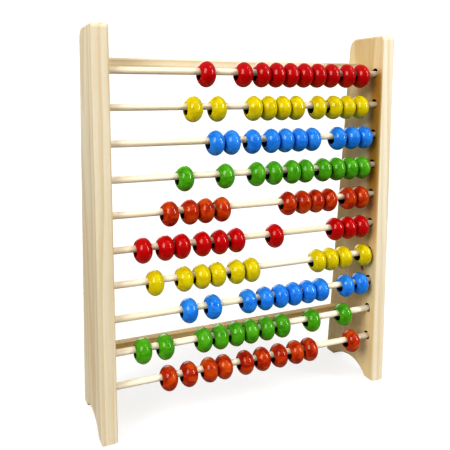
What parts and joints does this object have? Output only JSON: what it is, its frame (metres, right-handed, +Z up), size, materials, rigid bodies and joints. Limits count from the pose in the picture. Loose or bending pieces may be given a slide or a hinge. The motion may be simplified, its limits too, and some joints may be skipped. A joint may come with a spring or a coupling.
{
  "type": "abacus",
  "caption": "Free-standing wooden counting frame: painted beads slide on horizontal rods between two upright tapered side boards.",
  "frame": {"origin": "middle of the footprint, on the surface that the four feet stand on", "axes": "+X along the rods to the right as seen from the front, +Y from the bead side (front) to the rail side (back), +Z up"},
  "size_m": [0.25, 0.071, 0.3],
  "materials": {
    "board_wood": "planed pale softwood, lightly sanded, unvarnished",
    "rail_wood": "planed pale softwood",
    "rod_wood": "smooth pale dowel",
    "pin_wood": "fluted hardwood dowel",
    "red_paint": "gloss enamel on turned wood",
    "yellow_paint": "gloss enamel on turned wood",
    "blue_paint": "gloss enamel on turned wood",
    "green_paint": "gloss enamel on turned wood",
    "orange_paint": "gloss stain and lacquer on turned wood"
  },
  "bodies": {
    "frame": {"left_side_board": "board_wood", "right_side_board": "board_wood", "top_rear_rail": "rail_wood", "bottom_rear_rail": "rail_wood", "rail_dowel_pins": "pin_wood", "rod_01": "rod_wood", "rod_02": "rod_wood", "rod_03": "rod_wood", "rod_04": "rod_wood", "rod_05": "rod_wood", "rod_06": "rod_wood", "rod_07": "rod_wood", "rod_08": "rod_wood", "rod_09": "rod_wood", "rod_10": "rod_wood"},
    "row_01_red_beads_a": {"row_01_red_beads_a": "red_paint"},
    "row_01_red_beads_b": {"row_01_red_beads_b": "red_paint"},
    "row_01_red_beads_c": {"row_01_red_beads_c": "red_paint"},
    "row_01_red_beads_d": {"row_01_red_beads_d": "red_paint"},
    "row_02_yellow_beads_a": {"row_02_yellow_beads_a": "yellow_paint"},
    "row_02_yellow_beads_b": {"row_02_yellow_beads_b": "yellow_paint"},
    "row_02_yellow_beads_c": {"row_02_yellow_beads_c": "yellow_paint"},
    "row_02_yellow_beads_d": {"row_02_yellow_beads_d": "yellow_paint"},
    "row_03_blue_beads_a": {"row_03_blue_beads_a": "blue_paint"},
    "row_03_blue_beads_b": {"row_03_blue_beads_b": "blue_paint"},
    "row_03_blue_beads_c": {"row_03_blue_beads_c": "blue_paint"},
    "row_03_blue_beads_d": {"row_03_blue_beads_d": "blue_paint"},
    "row_04_green_beads_a": {"row_04_green_beads_a": "green_paint"},
    "row_04_green_beads_b": {"row_04_green_beads_b": "green_paint"},
    "row_04_green_beads_c": {"row_04_green_beads_c": "green_paint"},
    "row_04_green_beads_d": {"row_04_green_beads_d": "green_paint"},
    "row_04_green_beads_e": {"row_04_green_beads_e": "green_paint"},
    "row_05_orange_beads_a": {"row_05_orange_beads_a": "orange_paint"},
    "row_05_orange_beads_b": {"row_05_orange_beads_b": "orange_paint"},
    "row_05_orange_beads_c": {"row_05_orange_beads_c": "orange_paint"},
    "row_05_orange_beads_d": {"row_05_orange_beads_d": "orange_paint"},
    "row_06_red_beads_a": {"row_06_red_beads_a": "red_paint"},
    "row_06_red_beads_b": {"row_06_red_beads_b": "red_paint"},
    "row_06_red_beads_c": {"row_06_red_beads_c": "red_paint"},
    "row_06_red_beads_d": {"row_06_red_beads_d": "red_paint"},
    "row_06_red_beads_e": {"row_06_red_beads_e": "red_paint"},
    "row_07_yellow_beads_a": {"row_07_yellow_beads_a": "yellow_paint"},
    "row_07_yellow_beads_b": {"row_07_yellow_beads_b": "yellow_paint"},
    "row_07_yellow_beads_c": {"row_07_yellow_beads_c": "yellow_paint"},
    "row_07_yellow_beads_d": {"row_07_yellow_beads_d": "yellow_paint"},
    "row_07_yellow_beads_e": {"row_07_yellow_beads_e": "yellow_paint"},
    "row_08_blue_beads_a": {"row_08_blue_beads_a": "blue_paint"},
    "row_08_blue_beads_b": {"row_08_blue_beads_b": "blue_paint"},
    "row_08_blue_beads_c": {"row_08_blue_beads_c": "blue_paint"},
    "row_08_blue_beads_d": {"row_08_blue_beads_d": "blue_paint"},
    "row_09_green_beads_a": {"row_09_green_beads_a": "green_paint"},
    "row_09_green_beads_b": {"row_09_green_beads_b": "green_paint"},
    "row_09_green_beads_c": {"row_09_green_beads_c": "green_paint"},
    "row_09_green_beads_d": {"row_09_green_beads_d": "green_paint"},
    "row_09_green_beads_e": {"row_09_green_beads_e": "green_paint"},
    "row_10_orange_beads_a": {"row_10_orange_beads_a": "orange_paint"},
    "row_10_orange_beads_b": {"row_10_orange_beads_b": "orange_paint"},
    "row_10_orange_beads_c": {"row_10_orange_beads_c": "orange_paint"},
    "row_10_orange_beads_d": {"row_10_orange_beads_d": "orange_paint"},
    "row_10_orange_beads_e": {"row_10_orange_beads_e": "orange_paint"}
  },
  "joints": [
    {"name": "slide_row_01_a", "type": "slide", "parent": "frame", "child": "row_01_red_beads_a", "axis": [1, 0, 0], "range_m": [-0.06725, 0.0177]},
    {"name": "slide_row_01_b", "type": "slide", "parent": "frame", "child": "row_01_red_beads_b", "axis": [1, 0, 0], "range_m": [-0.0177, 0.0032]},
    {"name": "slide_row_01_c", "type": "slide", "parent": "frame", "child": "row_01_red_beads_c", "axis": [1, 0, 0], "range_m": [-0.0032, 0.0026]},
    {"name": "slide_row_01_d", "type": "slide", "parent": "frame", "child": "row_01_red_beads_d", "axis": [1, 0, 0], "range_m": [-0.0026, 0.00805]},
    {"name": "slide_row_02_a", "type": "slide", "parent": "frame", "child": "row_02_yellow_beads_a", "axis": [1, 0, 0], "range_m": [-0.05685, 0.0066]},
    {"name": "slide_row_02_b", "type": "slide", "parent": "frame", "child": "row_02_yellow_beads_b", "axis": [1, 0, 0], "range_m": [-0.0066, 0.0176]},
    {"name": "slide_row_02_c", "type": "slide", "parent": "frame", "child": "row_02_yellow_beads_c", "axis": [1, 0, 0], "range_m": [-0.0176, 0.0076]},
    {"name": "slide_row_02_d", "type": "slide", "parent": "frame", "child": "row_02_yellow_beads_d", "axis": [1, 0, 0], "range_m": [-0.0076, 0.00825]},
    {"name": "slide_row_03_a", "type": "slide", "parent": "frame", "child": "row_03_blue_beads_a", "axis": [1, 0, 0], "range_m": [-0.07425, 0.0054]},
    {"name": "slide_row_03_b", "type": "slide", "parent": "frame", "child": "row_03_blue_beads_b", "axis": [1, 0, 0], "range_m": [-0.0054, 0.004]},
    {"name": "slide_row_03_c", "type": "slide", "parent": "frame", "child": "row_03_blue_beads_c", "axis": [1, 0, 0], "range_m": [-0.004, 0.0119]},
    {"name": "slide_row_03_d", "type": "slide", "parent": "frame", "child": "row_03_blue_beads_d", "axis": [1, 0, 0], "range_m": [-0.0119, 0.00315]},
    {"name": "slide_row_04_a", "type": "slide", "parent": "frame", "child": "row_04_green_beads_a", "axis": [1, 0, 0], "range_m": [-0.04965, 0.0203]},
    {"name": "slide_row_04_b", "type": "slide", "parent": "frame", "child": "row_04_green_beads_b", "axis": [1, 0, 0], "range_m": [-0.0203, 0.014]},
    {"name": "slide_row_04_c", "type": "slide", "parent": "frame", "child": "row_04_green_beads_c", "axis": [1, 0, 0], "range_m": [-0.014, 0.0039]},
    {"name": "slide_row_04_d", "type": "slide", "parent": "frame", "child": "row_04_green_beads_d", "axis": [1, 0, 0], "range_m": [-0.0039, 0.0042]},
    {"name": "slide_row_04_e", "type": "slide", "parent": "frame", "child": "row_04_green_beads_e", "axis": [1, 0, 0], "range_m": [-0.0042, 0.00435]},
    {"name": "slide_row_05_a", "type": "slide", "parent": "frame", "child": "row_05_orange_beads_a", "axis": [1, 0, 0], "range_m": [-0.03765, 0.0034]},
    {"name": "slide_row_05_b", "type": "slide", "parent": "frame", "child": "row_05_orange_beads_b", "axis": [1, 0, 0], "range_m": [-0.0034, 0.0455]},
    {"name": "slide_row_05_c", "type": "slide", "parent": "frame", "child": "row_05_orange_beads_c", "axis": [1, 0, 0], "range_m": [-0.0455, 0.007]},
    {"name": "slide_row_05_d", "type": "slide", "parent": "frame", "child": "row_05_orange_beads_d", "axis": [1, 0, 0], "range_m": [-0.007, 0.00505]},
    {"name": "slide_row_06_a", "type": "slide", "parent": "frame", "child": "row_06_red_beads_a", "axis": [1, 0, 0], "range_m": [-0.01705, 0.0043]},
    {"name": "slide_row_06_b", "type": "slide", "parent": "frame", "child": "row_06_red_beads_b", "axis": [1, 0, 0], "range_m": [-0.0043, 0.004]},
    {"name": "slide_row_06_c", "type": "slide", "parent": "frame", "child": "row_06_red_beads_c", "axis": [1, 0, 0], "range_m": [-0.004, 0.0216]},
    {"name": "slide_row_06_d", "type": "slide", "parent": "frame", "child": "row_06_red_beads_d", "axis": [1, 0, 0], "range_m": [-0.0216, 0.0454]},
    {"name": "slide_row_06_e", "type": "slide", "parent": "frame", "child": "row_06_red_beads_e", "axis": [1, 0, 0], "range_m": [-0.0454, 0.00425]},
    {"name": "slide_row_07_a", "type": "slide", "parent": "frame", "child": "row_07_yellow_beads_a", "axis": [1, 0, 0], "range_m": [-0.02565, 0.0103]},
    {"name": "slide_row_07_b", "type": "slide", "parent": "frame", "child": "row_07_yellow_beads_b", "axis": [1, 0, 0], "range_m": [-0.0103, 0.0037]},
    {"name": "slide_row_07_c", "type": "slide", "parent": "frame", "child": "row_07_yellow_beads_c", "axis": [1, 0, 0], "range_m": [-0.0037, 0.0491]},
    {"name": "slide_row_07_d", "type": "slide", "parent": "frame", "child": "row_07_yellow_beads_d", "axis": [1, 0, 0], "range_m": [-0.0491, 0.0077]},
    {"name": "slide_row_07_e", "type": "slide", "parent": "frame", "child": "row_07_yellow_beads_e", "axis": [1, 0, 0], "range_m": [-0.0077, 0.00035]},
    {"name": "slide_row_08_a", "type": "slide", "parent": "frame", "child": "row_08_blue_beads_a", "axis": [1, 0, 0], "range_m": [-0.05225, 0.0074]},
    {"name": "slide_row_08_b", "type": "slide", "parent": "frame", "child": "row_08_blue_beads_b", "axis": [1, 0, 0], "range_m": [-0.0074, 0.0177]},
    {"name": "slide_row_08_c", "type": "slide", "parent": "frame", "child": "row_08_blue_beads_c", "axis": [1, 0, 0], "range_m": [-0.0177, 0.0133]},
    {"name": "slide_row_08_d", "type": "slide", "parent": "frame", "child": "row_08_blue_beads_d", "axis": [1, 0, 0], "range_m": [-0.0133, 0.00255]},
    {"name": "slide_row_09_a", "type": "slide", "parent": "frame", "child": "row_09_green_beads_a", "axis": [1, 0, 0], "range_m": [-0.01555, 0.005]},
    {"name": "slide_row_09_b", "type": "slide", "parent": "frame", "child": "row_09_green_beads_b", "axis": [1, 0, 0], "range_m": [-0.005, 0.0184]},
    {"name": "slide_row_09_c", "type": "slide", "parent": "frame", "child": "row_09_green_beads_c", "axis": [1, 0, 0], "range_m": [-0.0184, 0.0164]},
    {"name": "slide_row_09_d", "type": "slide", "parent": "frame", "child": "row_09_green_beads_d", "axis": [1, 0, 0], "range_m": [-0.0164, 0.0194]},
    {"name": "slide_row_09_e", "type": "slide", "parent": "frame", "child": "row_09_green_beads_e", "axis": [1, 0, 0], "range_m": [-0.0194, 0.01915]},
    {"name": "slide_row_10_a", "type": "slide", "parent": "frame", "child": "row_10_orange_beads_a", "axis": [1, 0, 0], "range_m": [-0.03545, 0.0046]},
    {"name": "slide_row_10_b", "type": "slide", "parent": "frame", "child": "row_10_orange_beads_b", "axis": [1, 0, 0], "range_m": [-0.0046, 0.0065]},
    {"name": "slide_row_10_c", "type": "slide", "parent": "frame", "child": "row_10_orange_beads_c", "axis": [1, 0, 0], "range_m": [-0.0065, 0.0033]},
    {"name": "slide_row_10_d", "type": "slide", "parent": "frame", "child": "row_10_orange_beads_d", "axis": [1, 0, 0], "range_m": [-0.0033, 0.0305]},
    {"name": "slide_row_10_e", "type": "slide", "parent": "frame", "child": "row_10_orange_beads_e", "axis": [1, 0, 0], "range_m": [-0.0305, 0.00995]}
  ]
}
